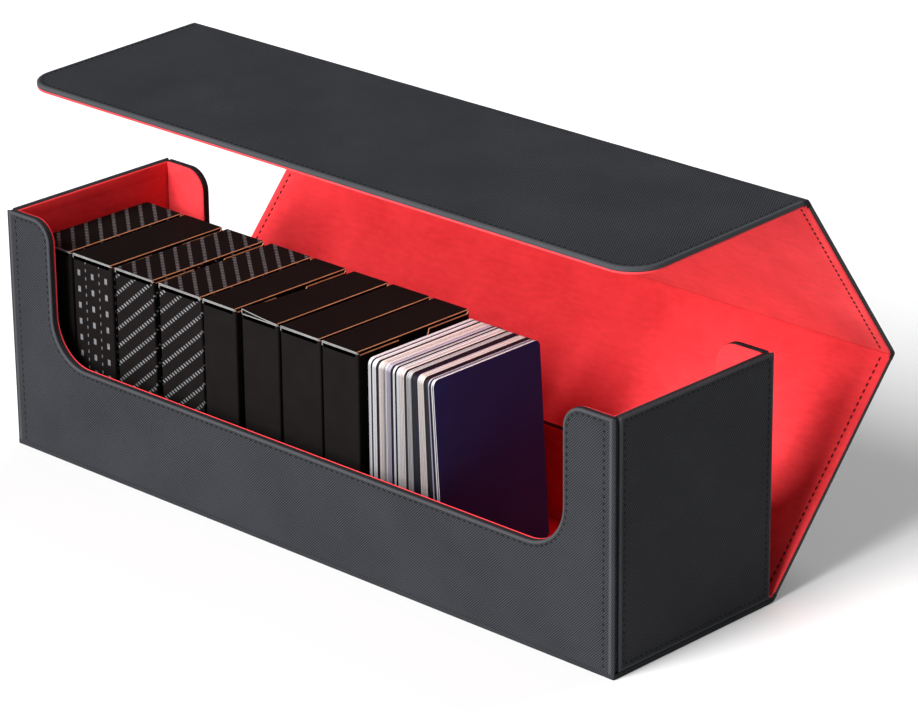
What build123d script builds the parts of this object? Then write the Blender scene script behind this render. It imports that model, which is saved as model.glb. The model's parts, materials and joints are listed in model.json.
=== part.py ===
"""Long trading-card storage box: a leather-covered tray with red lining and
a wrap-around cover that folds over it, holding tuck boxes and loose cards.

Millimetres, +Z up, origin at the centre of the underside on the table.
+X runs along the box, -Y is the side with the low reach-in edge in front.
"""

from build123d import *
import math
import os

os.makedirs("parts", exist_ok=True)

# --- driving dimensions -----------------------------------------------------
LENGTH = 354.0            # tray and cover, left to right
DEPTH = 95.0              # tray, front to back
TRAY_TOP = 110.0          # top edge of the tray above the table

SKIN = 0.7                # leather, outside
LINING = 0.7              # microsuede, inside
WALL_BOARD = 2.6          # stiff board of the tray walls
FLOOR_BOARD = 2.0
COVER_BOARD = 1.6         # stiff board of the cover panels

CUT_HALF = 150.0          # reach-in cutout, half its width
CUT_BOTTOM = 46.4         # height of its lower edge
CUT_LOW_RADIUS = 20.0     # round corner at the foot of a pillar
CUT_TOP_RADIUS = 10.0     # round corner at the top of a pillar
GROOVE = 2.6              # width of the folded groove beside each corner
GROOVE_DEPTH = 1.2

COVER_GAP = 0.7           # closed cover to the tray wall
HALF_CREASE = 2.2         # board edge to crease line
CREASE_HEIGHT = 1.8       # first crease line above the table
BACK_SPAN = 113.0         # crease to crease, up the back
TOP_SPAN = DEPTH + 2 * (COVER_GAP + 1.5)   # crease to crease, over the top
FLAP_SPAN = 101.0         # last crease to the free edge
FLAP_RADIUS = 15.0        # round free corners of the flap
PANEL_ANGLES = (48.8, 125.7, 181.7)   # back, top, flap; degrees up from +Y

STITCH_INSET = 3.6        # thread line to the edge
STITCH_WIDTH = 0.7
STITCH_PROUD = 0.2

DECK_WIDTH = 66.0         # tuck box, across the tray
DECK_HEIGHT = 89.5
DECK_FRONT = -36.5        # plane of the tuck boxes' narrow sides
PAPERBOARD = 0.6
TUCK = 14.0               # depth of the lid's tucked tongue
NOTCH_RADIUS = 9.0        # thumb notch in the front panel
DECK_ROW_START = -172.3
DECK_THICKNESSES = (23.8, 24.9, 24.2, 26.1, 19.9, 21.6, 23.2, 20.8)
DECK_SPACES = (1.4, 2.4, 3.6, 1.2, 3.9, 1.6, 1.2, 0.0)   # after each box

CARD_WIDTH = 63.0
CARD_HEIGHT = 88.0
CARD_RADIUS = 3.0
CARD_FRONT = -35.5
CARD_START = 32.4         # top of the first card
BUNDLE_COUNT = 12
BUNDLE_THICKNESS = 2.9
BUNDLE_PITCH = 3.03
CARD_LEAN = 3.4           # degrees, at the last card
FRONT_CARD_THICKNESS = 0.4

MAGNET = (9.0, 1.2, 22.0)   # width, thickness, height
MAGNET_X = 163.5
MAGNET_Z = 78.0

# --- worked out --------------------------------------------------------------
X_END = LENGTH / 2
Y_WALL = DEPTH / 2
WALL = SKIN + WALL_BOARD + LINING
BASE_TOP = SKIN + COVER_BOARD              # tray stands on the base panel
FLOOR_TOP = BASE_TOP + FLOOR_BOARD + LINING
BOARD_TOP = TRAY_TOP - SKIN
X_BOARD = X_END - SKIN                     # outer face of an end board
Y_BOARD = Y_WALL - SKIN                    # outer face of a front or back board
X_LINED = X_BOARD - WALL_BOARD             # inner face of an end board
Y_LINED = Y_BOARD - WALL_BOARD
X_INNER = X_END - WALL
Y_INNER = Y_WALL - WALL
PANEL_HALF = (SKIN + COVER_BOARD + LINING) / 2


def save(part, name):
    """Label a finished piece and write its file."""
    part.label = name
    export_step(part, f"parts/{name}.step")


def block(x, y, z):
    """A box between three pairs of coordinates."""
    with BuildPart() as solid:
        with Locations([(sum(x) / 2, sum(y) / 2, sum(z) / 2)]):
            Box(abs(x[1] - x[0]), abs(y[1] - y[0]), abs(z[1] - z[0]))
    return solid.part


def upright(y):
    """A sketch plane facing the front, at depth y; it extrudes backward with
    a negative amount."""
    return Plane(origin=(0, y, 0), x_dir=(1, 0, 0), z_dir=(0, -1, 0))


def wall(half, bottom, inset, y):
    """A long wall between two depths, with the reach-in cutout. The inset
    pulls its top and the edge of the cutout back into the wall."""
    cut = CUT_HALF + inset
    top = TRAY_TOP - inset
    low = CUT_BOTTOM - inset
    with BuildPart() as solid:
        with BuildSketch(upright(y[0])) as face:
            with BuildLine():
                Polyline(
                    (-half, bottom), (half, bottom), (half, top), (cut, top), (cut, low),
                    (-cut, low), (-cut, top), (-half, top), close=True,
                )
            make_face()
            for height, radius in ((low, CUT_LOW_RADIUS + inset), (top, CUT_TOP_RADIUS - inset)):
                corners = [
                    v for v in face.vertices()
                    if abs(abs(v.X) - cut) < 0.01 and abs(v.Y - height) < 0.01
                ]
                fillet(corners, radius)
        extrude(amount=y[0] - y[1])
    return solid.part


def thread(half, bottom, y):
    """A stitched line along the edge of a long wall: up one side, round both
    pillars and the cutout, and down the other side."""
    outer = wall(half, bottom, STITCH_INSET - STITCH_WIDTH / 2, y)
    reach = (y[0] - 1, y[1] + 1)
    inner = wall(half - STITCH_WIDTH, bottom - 1, STITCH_INSET + STITCH_WIDTH / 2, reach)
    return outer - inner


# --- cover: base panel under the tray ---------------------------------------
save(block((-X_END, X_END), (-Y_WALL, Y_WALL), (0, SKIN)), "cover_base_skin")
save(block((-X_END, X_END), (-Y_WALL, Y_WALL), (SKIN, BASE_TOP)), "cover_base_board")

# --- tray: floor --------------------------------------------------------------
save(
    block((-X_LINED, X_LINED), (-Y_LINED, Y_LINED), (BASE_TOP, BASE_TOP + FLOOR_BOARD)),
    "tray_floor_board",
)
save(
    block((-X_INNER, X_INNER), (-Y_INNER, Y_INNER), (FLOOR_TOP - LINING, FLOOR_TOP)),
    "tray_floor_lining",
)

# --- tray: front wall ---------------------------------------------------------
# It runs the whole length; a groove beside each end parts it from the end walls.
front_fold = X_END - GROOVE_DEPTH
front_board_half = front_fold - SKIN
front_depths = (-Y_BOARD, -Y_LINED)
magnet_pocket_y = (-Y_BOARD, -Y_BOARD + MAGNET[1])
magnet_z = (MAGNET_Z - MAGNET[2] / 2, MAGNET_Z + MAGNET[2] / 2)


def magnet_pair(y, z):
    """Two bar magnets, one in each pillar."""
    left = block((-MAGNET_X - MAGNET[0] / 2, -MAGNET_X + MAGNET[0] / 2), y, z)
    right = block((MAGNET_X - MAGNET[0] / 2, MAGNET_X + MAGNET[0] / 2), y, z)
    return left + right


tray_magnets = magnet_pair(magnet_pocket_y, magnet_z)
front_board = wall(front_board_half, BASE_TOP, SKIN, front_depths)
save(front_board - tray_magnets, "tray_front_board")
save(tray_magnets, "tray_magnets")

front_sheet = wall(X_END, BASE_TOP, 0, (-Y_WALL, -Y_BOARD))
front_turn_in = wall(front_fold, BASE_TOP, 0, front_depths) - front_board
save(front_sheet + front_turn_in, "tray_front_skin")
save(
    wall(X_INNER, FLOOR_TOP - LINING, 0.2, (-Y_LINED, -Y_INNER)),
    "tray_front_lining",
)
save(
    thread(X_END - STITCH_INSET, BASE_TOP + 1, (-Y_WALL - STITCH_PROUD, -Y_WALL)),
    "tray_front_stitching",
)

# --- tray: back wall ----------------------------------------------------------
# It sits between the end walls; its grooves face backward.
back_sheet_half = X_END - GROOVE
back_depths = (Y_LINED, Y_BOARD)
back_board = wall(X_LINED, BASE_TOP, SKIN, back_depths)
back_sheet = wall(back_sheet_half, BASE_TOP, 0, (Y_BOARD, Y_WALL))
back_lip = wall(back_sheet_half, BASE_TOP, 0, (Y_WALL - GROOVE_DEPTH, Y_BOARD)) - back_board
back_turn_in = wall(X_LINED, BASE_TOP, 0, back_depths) - back_board
save(back_board, "tray_back_board")
save(back_sheet + back_lip + back_turn_in, "tray_back_skin")
save(
    wall(X_INNER, FLOOR_TOP - LINING, 0.2, (Y_INNER, Y_LINED)),
    "tray_back_lining",
)
save(
    thread(back_sheet_half - STITCH_INSET, BASE_TOP + 1, (Y_WALL, Y_WALL + STITCH_PROUD)),
    "tray_back_stitching",
)

# --- tray: end walls ----------------------------------------------------------
end_front = -Y_WALL + GROOVE
end_back_fold = Y_WALL - GROOVE_DEPTH
frame_y = (end_front + STITCH_INSET, Y_WALL - STITCH_INSET)
frame_z = (BASE_TOP + STITCH_INSET, TRAY_TOP - STITCH_INSET)


def end_wall(side, name):
    """One end: board, leather with its turned-in edges, lining and thread."""
    outer = side * X_END
    board_out = side * X_BOARD
    board_in = side * X_LINED
    fold = side * (X_END - GROOVE_DEPTH)

    board = block((board_in, board_out), (-Y_LINED, end_back_fold - SKIN), (BASE_TOP, BOARD_TOP))
    save(board, f"tray_{name}_board")

    sheet = block((board_out, outer), (end_front, Y_WALL), (BASE_TOP, TRAY_TOP))
    top_turn_in = block((board_in, board_out), (-Y_LINED, end_back_fold), (BOARD_TOP, TRAY_TOP))
    front_lip = block((fold, board_out), (end_front, -Y_LINED), (BASE_TOP, TRAY_TOP))
    back_turn_in = block(
        (board_in, board_out), (end_back_fold - SKIN, end_back_fold), (BASE_TOP, TRAY_TOP)
    )
    save(sheet + top_turn_in + front_lip + back_turn_in, f"tray_{name}_skin")

    lining = block(
        (side * X_INNER, board_in), (-Y_LINED, Y_LINED), (FLOOR_TOP - LINING, TRAY_TOP - 0.2)
    )
    save(lining, f"tray_{name}_lining")

    proud = side * (X_END + STITCH_PROUD)
    outline = block((outer, proud), frame_y, frame_z)
    opening = block(
        (side * (X_END - 1), side * (X_END + 1)),
        (frame_y[0] + STITCH_WIDTH, frame_y[1] - STITCH_WIDTH),
        (frame_z[0] + STITCH_WIDTH, frame_z[1] - STITCH_WIDTH),
    )
    save(outline - opening, f"tray_{name}_stitching")


end_wall(-1, "left")
end_wall(1, "right")

# --- cover: three folding panels ---------------------------------------------
def direction(angle):
    """Unit vector in the YZ plane, degrees up from +Y."""
    return Vector(0, math.cos(math.radians(angle)), math.sin(math.radians(angle)))


back_angle, top_angle, flap_angle = PANEL_ANGLES
crease_1 = Vector(0, Y_WALL + HALF_CREASE, CREASE_HEIGHT)
crease_2 = crease_1 + direction(back_angle) * BACK_SPAN
crease_3 = crease_2 + direction(top_angle) * TOP_SPAN


def panel_plane(crease, angle):
    """Sketch plane in the middle of a panel: x along the box, y away from the
    crease, z toward the lined side."""
    return Plane(origin=crease, x_dir=(1, 0, 0), z_dir=direction(angle + 90))


def sheet(plane, inset, y, z, radius):
    """A flat layer of a panel; the inset narrows its two ends. A radius
    rounds the corners at the far edge."""
    half = X_END - inset
    with BuildPart() as solid:
        with BuildSketch(plane.offset(z[0])) as face:
            with BuildLine():
                Polyline((-half, y[0]), (half, y[0]), (half, y[1]), (-half, y[1]), close=True)
            make_face()
            if radius:
                far = [v for v in face.vertices() if v.Y > sum(y) / 2]
                fillet(far, radius)
        extrude(amount=z[1] - z[0])
    return solid.part


def cover_panel(name, crease, angle, span, free):
    """Board, leather, lining and thread of one panel. A free panel ends in an
    edge of its own; the others end at the next crease."""
    plane = panel_plane(crease, angle)
    near = HALF_CREASE
    far = span if free else span - HALF_CREASE
    rim = SKIN if free else 0
    radius = FLAP_RADIUS if free else 0
    inner_radius = radius - SKIN if free else 0
    board_z = (SKIN - PANEL_HALF, SKIN + COVER_BOARD - PANEL_HALF)

    board = sheet(plane, SKIN, (near, far - rim), board_z, inner_radius)
    lining = sheet(plane, SKIN, (near, far - rim), (board_z[1], PANEL_HALF), inner_radius)
    full = sheet(plane, 0, (near, far), (-PANEL_HALF, PANEL_HALF), radius)
    save(full - board - lining, f"{name}_skin")
    save(lining, f"{name}_lining")

    lines = []
    for z in ((-PANEL_HALF - STITCH_PROUD, -PANEL_HALF), (PANEL_HALF, PANEL_HALF + STITCH_PROUD)):
        stop = far - STITCH_INSET if free else far - 1
        round_out = radius - STITCH_INSET if free else 0
        round_in = round_out - STITCH_WIDTH if free else 0
        trim = STITCH_WIDTH if free else -1
        outline = sheet(plane, STITCH_INSET, (near + 1, stop), z, round_out)
        opening = sheet(
            plane, STITCH_INSET + STITCH_WIDTH, (near, stop - trim), (z[0] - 1, z[1] + 1), round_in
        )
        lines.append(outline - opening)
    save(lines[0] + lines[1], f"{name}_stitching")
    return board, plane


def crease_strip(name, crease, before, after):
    """The bare leather and lining between two boards, bent round the crease."""
    turn = math.radians(after - before)
    radius = HALF_CREASE / math.tan(turn / 2)
    centre = crease - direction(before) * HALF_CREASE + direction(before + 90) * radius
    start = before - 90
    with BuildPart() as strip:
        with BuildSketch(Plane.YZ.offset(-X_END)):
            with BuildLine():
                edges = []
                for r in (radius + SKIN, radius - LINING):
                    edges.append(
                        CenterArc((centre.Y, centre.Z), r, start, after - before)
                    )
                Line(edges[0] @ 0, edges[1] @ 0)
                Line(edges[0] @ 1, edges[1] @ 1)
            make_face()
        extrude(amount=LENGTH)
    save(strip.part, name)


back_board_part, _ = cover_panel("back_panel", crease_1, back_angle, BACK_SPAN, False)
save(back_board_part, "back_panel_board")
top_board_part, _ = cover_panel("top_panel", crease_2, top_angle, TOP_SPAN, False)
save(top_board_part, "top_panel_board")
flap_board_part, flap_plane = cover_panel("front_flap", crease_3, flap_angle, FLAP_SPAN, True)

# The flap's magnets meet those in the pillars when the cover is closed.
flap_reach = CREASE_HEIGHT + BACK_SPAN - MAGNET_Z
magnet_face = SKIN + COVER_BOARD - PANEL_HALF
with BuildPart() as flap_magnets:
    with BuildSketch(flap_plane.offset(magnet_face)):
        with Locations((-MAGNET_X, flap_reach), (MAGNET_X, flap_reach)):
            Rectangle(MAGNET[0], MAGNET[2])
    extrude(amount=-MAGNET[1])
save(flap_magnets.part, "flap_magnets")
save(flap_board_part - flap_magnets.part, "front_flap_board")

crease_strip("crease_rear_strip", crease_1, 0, back_angle)
crease_strip("crease_upper_strip", crease_2, back_angle, top_angle)
crease_strip("crease_front_strip", crease_3, top_angle, flap_angle)

# --- contents: tuck boxes -----------------------------------------------------
DECK_TOP = FLOOR_TOP + DECK_HEIGHT
deck_y = (DECK_FRONT, DECK_FRONT + DECK_WIDTH)
deck_middle_y = sum(deck_y) / 2


def tuck_box(number, left, right):
    """A folded paperboard box: an open carton with a thumb notch in its
    panel at +X, and a lid whose tongue tucks in behind that panel."""
    with BuildPart() as carton:
        with BuildSketch(Plane.XY.offset(FLOOR_TOP)):
            with Locations(((left + right) / 2, deck_middle_y)):
                Rectangle(right - left, DECK_WIDTH)
        extrude(amount=DECK_HEIGHT)
        with BuildSketch(Plane.XY.offset(FLOOR_TOP + PAPERBOARD)):
            with Locations(((left + right) / 2, deck_middle_y)):
                Rectangle(right - left - 2 * PAPERBOARD, DECK_WIDTH - 2 * PAPERBOARD)
        extrude(amount=DECK_HEIGHT, mode=Mode.SUBTRACT)
        with BuildSketch(Plane.XY.offset(DECK_TOP - PAPERBOARD)):
            with Locations(((left + right - PAPERBOARD) / 2, deck_middle_y)):
                Rectangle(right - left - PAPERBOARD, DECK_WIDTH + 2)
        extrude(amount=DECK_HEIGHT, mode=Mode.SUBTRACT)
        with BuildSketch(Plane.YZ.offset(right - 2 * PAPERBOARD)):
            with Locations((deck_middle_y, DECK_TOP)):
                Circle(NOTCH_RADIUS)
        extrude(amount=4 * PAPERBOARD, mode=Mode.SUBTRACT)
    save(carton.part, f"deck_box_{number}_carton")

    tongue_x = right - 2 * PAPERBOARD
    with BuildPart() as lid:
        with BuildSketch(upright(deck_y[0])):
            with BuildLine():
                Polyline(
                    (left, DECK_TOP - PAPERBOARD),
                    (tongue_x, DECK_TOP - PAPERBOARD),
                    (tongue_x, DECK_TOP - TUCK),
                    (right - PAPERBOARD, DECK_TOP - TUCK),
                    (right - PAPERBOARD, DECK_TOP),
                    (left, DECK_TOP),
                    close=True,
                )
            make_face()
        extrude(amount=-DECK_WIDTH)
        # the tongue is narrower than the lid, so that it passes the side walls
        for y in deck_y:
            with Locations(((tongue_x + right) / 2, y, DECK_TOP - PAPERBOARD - TUCK / 2)):
                Box(right - tongue_x + 1, 2 * (PAPERBOARD + 0.4), TUCK, mode=Mode.SUBTRACT)
    save(lid.part, f"deck_box_{number}_lid")


edge = DECK_ROW_START
for number, (thickness, space) in enumerate(zip(DECK_THICKNESSES, DECK_SPACES), 1):
    tuck_box(number, edge, edge + thickness)
    edge += thickness + space

# --- contents: loose cards ----------------------------------------------------
def card_block(top_left, lean, thickness, shift_y, drop):
    """Cards standing on their short edge, thickness along +X, leaning so that
    their foot is further toward +X than their top."""
    tilt = math.radians(lean)
    height = CARD_HEIGHT * math.cos(tilt)
    across = Vector(math.cos(tilt), 0, math.sin(tilt))
    up = Vector(-math.sin(tilt), 0, math.cos(tilt))
    top = Vector(top_left, CARD_FRONT + shift_y + CARD_WIDTH / 2, FLOOR_TOP + 0.1 + height - drop)
    plane = Plane(origin=top - up * (CARD_HEIGHT / 2), x_dir=(0, 1, 0), z_dir=across)
    with BuildPart() as cards:
        with BuildSketch(plane):
            RectangleRounded(CARD_WIDTH, CARD_HEIGHT, CARD_RADIUS)
        extrude(amount=thickness)
    return cards.part


bundles = []
for i in range(BUNDLE_COUNT):
    lean = CARD_LEAN * max(0.0, (i - 2) / (BUNDLE_COUNT - 2)) ** 1.5
    sway = 0.35 * math.sin(2.4 * i)
    bundles.append(
        card_block(CARD_START + i * BUNDLE_PITCH, lean, BUNDLE_THICKNESS, sway, 0.0)
    )
save(Compound(children=bundles), "card_stack")
save(
    card_block(
        CARD_START + BUNDLE_COUNT * BUNDLE_PITCH, CARD_LEAN, FRONT_CARD_THICKNESS, 0.0, 0.0
    ),
    "front_card",
)
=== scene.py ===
"""Looks for the long trading-card storage box: leather, suede, thread, tuck boxes and cards round the
CAD frame."""

import json
import math
import random

import bmesh
import bpy
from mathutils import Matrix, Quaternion, Vector


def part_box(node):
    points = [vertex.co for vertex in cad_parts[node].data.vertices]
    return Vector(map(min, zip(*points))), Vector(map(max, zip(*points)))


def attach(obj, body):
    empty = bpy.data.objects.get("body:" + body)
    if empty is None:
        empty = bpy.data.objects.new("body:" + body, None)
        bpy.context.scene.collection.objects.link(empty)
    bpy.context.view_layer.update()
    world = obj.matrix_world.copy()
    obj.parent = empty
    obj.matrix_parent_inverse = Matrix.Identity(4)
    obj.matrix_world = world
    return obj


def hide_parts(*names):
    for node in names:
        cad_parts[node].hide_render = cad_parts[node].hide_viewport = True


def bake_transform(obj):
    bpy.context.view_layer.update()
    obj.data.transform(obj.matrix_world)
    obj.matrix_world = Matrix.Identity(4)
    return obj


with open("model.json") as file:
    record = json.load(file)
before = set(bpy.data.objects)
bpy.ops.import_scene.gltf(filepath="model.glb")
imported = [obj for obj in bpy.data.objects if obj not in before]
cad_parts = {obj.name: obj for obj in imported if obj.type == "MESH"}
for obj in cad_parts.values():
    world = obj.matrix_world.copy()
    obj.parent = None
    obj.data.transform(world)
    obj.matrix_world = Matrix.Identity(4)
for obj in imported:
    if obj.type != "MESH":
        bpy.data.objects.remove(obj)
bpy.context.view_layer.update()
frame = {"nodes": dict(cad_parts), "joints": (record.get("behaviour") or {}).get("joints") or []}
joints = {j["name"]: j for j in frame["joints"]}
MM = 0.001

# --- sizes, in metres unless they say otherwise ---
LINING = 0.7 * MM
CUT_HALF = 150.0 * MM
CUT_BOTTOM = 46.4 * MM
CUT_LOW_RADIUS = 20.0 * MM
CUT_TOP_RADIUS = 10.0 * MM
GROOVE_DEPTH = 1.2 * MM
LINING_SEAM = 3.95 * MM       # middle of the thread to the edge, on the cover's lining
PANEL_SEAM = 2.6 * MM         # on the cover's leather
RIM_SEAM = 2.1 * MM           # round the tray's rim and cutouts
CORNER_SEAM = 5.6 * MM        # beside the tray's front corners
REAR_SEAM = 2.8 * MM
GROOVE_STEP = 0.6 * MM        # the folded groove beside a front corner widens by this at its mouth
CORNER_ROUND = 2.4            # a front corner is rounded this many times wider than the other edges
STITCH_PITCH = 3.0 * MM
THREAD_SUNK = 0.08 * MM        # how far under the leather's face the middle of the thread lies
HALF_CREASE = 2.2 * MM
HALF_PANEL = 1.5 * MM
FLAP_RADIUS = 15.0 * MM
PAPERBOARD = 0.5 * MM
NOTCH_RADIUS = 9.0 * MM

front_low, front_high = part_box("tray_front_skin")
X_END = front_high.x
Y_WALL = -front_low.y
TRAY_BOTTOM = front_low.z
TRAY_TOP = front_high.z
END_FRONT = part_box("tray_right_skin")[0].y
BACK_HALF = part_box("tray_back_skin")[1].x
floor_low, floor_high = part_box("tray_floor_lining")
X_INNER = floor_high.x
Y_INNER = floor_high.y
RIM_LEATHER = 3.1 * MM        # of a wall's thickness, the part that its leather covers at the rim
RIM_LINING = Y_WALL - Y_INNER - RIM_LEATHER


# --- outlines and sheets ---
def outline(corners, insets, step):
    """Points round a polygon of right-angled corners (x, y, radius), counter-clockwise.
    Edge i runs from corner i to the next and is moved inward by insets[i]."""
    count = len(corners)
    edges = []
    for i in range(count):
        a, b = Vector(corners[i][:2]), Vector(corners[(i + 1) % count][:2])
        edges.append(((b - a).normalized(), (b - a).length))
    arcs = []
    for i in range(count):
        before, after = edges[i - 1][0], edges[i][0]
        inward_before = Vector((-before.y, before.x))
        inward_after = Vector((-after.y, after.x))
        point = Vector(corners[i][:2]) + inward_before * insets[i - 1] + inward_after * insets[i]
        convex = before.cross(after) > 0
        inset = min(insets[i - 1], insets[i])
        radius = corners[i][2]
        radius = max(radius - inset, 0.04 * MM) if convex else radius + inset
        side = inward_before if convex else -inward_before
        centre = point - before * radius + side * radius
        parts = 12 if corners[i][2] > 2 * MM else 3
        arcs.append([
            centre - side * radius * math.cos(k / parts * math.pi / 2)
            + before * radius * math.sin(k / parts * math.pi / 2)
            for k in range(parts + 1)
        ])
    points = []
    for i in range(count):
        points += arcs[i]
        start, end = arcs[i][-1], arcs[(i + 1) % count][0]
        parts = max(1, round(edges[i][1] / step))
        points += [start.lerp(end, k / parts) for k in range(1, parts)]
    return points


def lengths(points):
    """Distance along a closed line at each of its points, and the whole length."""
    total, along = 0.0, []
    for i, p in enumerate(points):
        along.append(total)
        total += (points[(i + 1) % len(points)] - p).length
    return along, total


def make_object(name, verts, faces, uvs=None, smooth=35.0):
    """A mesh object in the row frame; uvs holds one flat place per vertex, in metres."""
    mesh = bpy.data.meshes.new(name)
    mesh.from_pydata([tuple(v) for v in verts], [], faces)
    if uvs:
        layer = mesh.uv_layers.new(name="flat")
        for loop in mesh.loops:
            layer.data[loop.index].uv = uvs[loop.vertex_index]
    mesh.shade_smooth()
    mesh.set_sharp_from_angle(angle=math.radians(smooth))
    obj = bpy.data.objects.new(name, mesh)
    bpy.context.scene.collection.objects.link(obj)
    return obj


def loft_faces(rings, sides):
    """Faces that join rings of that many points one after another, with a cap before and after them."""
    faces = [list(range(sides))[::-1]]
    for r in range(rings - 1):
        a, b = r * sides, (r + 1) * sides
        for k in range(sides):
            m = (k + 1) % sides
            faces.append([a + k, a + m, b + m, b + k])
    faces.append([(rings - 1) * sides + k for k in range(sides)])
    return faces


def sewn_sheet(name, corners, rings, place, step=1.0 * MM, seam=None, highlit_bands=None):
    """A closed slab. Each ring is (insets, height, pucker), with one inset for all edges or a list of one
    each: the first lies under the slab and is capped, then they go round its edge and in over its face,
    and the last is capped. Pucker presses a ring down under the stitches, which follow the outline at the
    seam's insets. The bands between the two rings that the last argument gives take the second material,
    a lighter leather that paints a highlight along the rim."""
    if seam:
        along, total = lengths(outline(corners, seam, step))
        pitch = total / round(total / STITCH_PITCH)
    verts, uvs = [], []
    face_height = max(ring[1] for ring in rings)
    for insets, height, pucker in rings:
        if isinstance(insets, float):
            insets = [insets] * len(corners)
        points = outline(corners, insets, step)
        unfold = face_height - height if pucker is None else 0.0
        flat = outline(corners, [i - unfold for i in insets], step)
        for k, (p, f) in enumerate(zip(points, flat)):
            press = 0.0
            if pucker and seam:
                press = pucker * (0.5 - 0.5 * math.cos(2 * math.pi * along[k] / pitch))
            verts.append(place(p.x, p.y, height - press))
            uvs.append((f.x, f.y))
    n = len(points)
    sheet = make_object(name, verts, loft_faces(len(rings), n), uvs)
    if highlit_bands:
        first, last = 1 + highlit_bands[0] * n, 1 + highlit_bands[1] * n
        for face in sheet.data.polygons[first:last]:
            face.material_index = 1
    return sheet


def stitch_template():
    """One stitch: a soft bar whose ends dip into the leather. Points are (along, across, up)."""
    length, width, height = 1.95 * MM, 0.46 * MM, 0.30 * MM
    rings, sides = 7, 8
    points = []
    for r in range(rings):
        t = r / (rings - 1) * 2 - 1
        swell = math.sqrt(max(0.0, 1 - abs(t) ** 3.0)) * 0.96 + 0.04
        sink = -0.26 * MM * abs(t) ** 4
        for s in range(sides):
            a = 2 * math.pi * s / sides
            points.append((
                t * length / 2,
                math.cos(a) * width * swell,
                math.sin(a) * height * swell + sink,
            ))
    return points, loft_faces(rings, sides)


STITCH_POINTS, STITCH_FACES = stitch_template()
sewing_rng = random.Random(7)


def stitches(name, corners, seam, place, height, keep, step=1.0 * MM):
    """The stitches along an outline, where keep(x, y) is true."""
    points = outline(corners, seam, step)
    along, total = lengths(points)
    number = round(total / STITCH_PITCH)
    pitch = total / number
    verts, faces = [], []
    k = 0
    for i in range(number):
        s = (i + 0.5) * pitch
        while k + 1 < len(points) and along[k + 1] <= s:
            k += 1
        a, b = points[k], points[(k + 1) % len(points)]
        if (b - a).length < 1e-7:
            continue
        middle = a + (b - a) * ((s - along[k]) / (b - a).length)
        if not keep(middle.x, middle.y):
            continue
        ahead = (b - a).normalized()
        turn = sewing_rng.uniform(-0.06, 0.06)
        ahead = Vector((
            ahead.x * math.cos(turn) - ahead.y * math.sin(turn),
            ahead.x * math.sin(turn) + ahead.y * math.cos(turn),
        ))
        across = Vector((-ahead.y, ahead.x))
        stretch = sewing_rng.uniform(0.94, 1.04)
        base = len(verts)
        for t, w, u in STITCH_POINTS:
            p = middle + ahead * t * stretch + across * w
            verts.append(place(p.x, p.y, height + u))
        faces += [[base + f for f in face] for face in STITCH_FACES]
    return make_object(name, verts, faces, None, 60.0)


def cut(obj, point, normal):
    """Cuts away what lies on the normal's side of a plane and closes the cut."""
    bm = bmesh.new()
    bm.from_mesh(obj.data)
    geometry = bm.verts[:] + bm.edges[:] + bm.faces[:]
    bmesh.ops.bisect_plane(bm, geom=geometry, dist=1e-7, plane_co=point, plane_no=normal, clear_outer=True)
    open_edges = [e for e in bm.edges if len(e.link_faces) == 1]
    bmesh.ops.holes_fill(bm, edges=open_edges, sides=0)
    bm.to_mesh(obj.data)
    bm.free()
    obj.data.set_sharp_from_angle(angle=math.radians(35))


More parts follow.
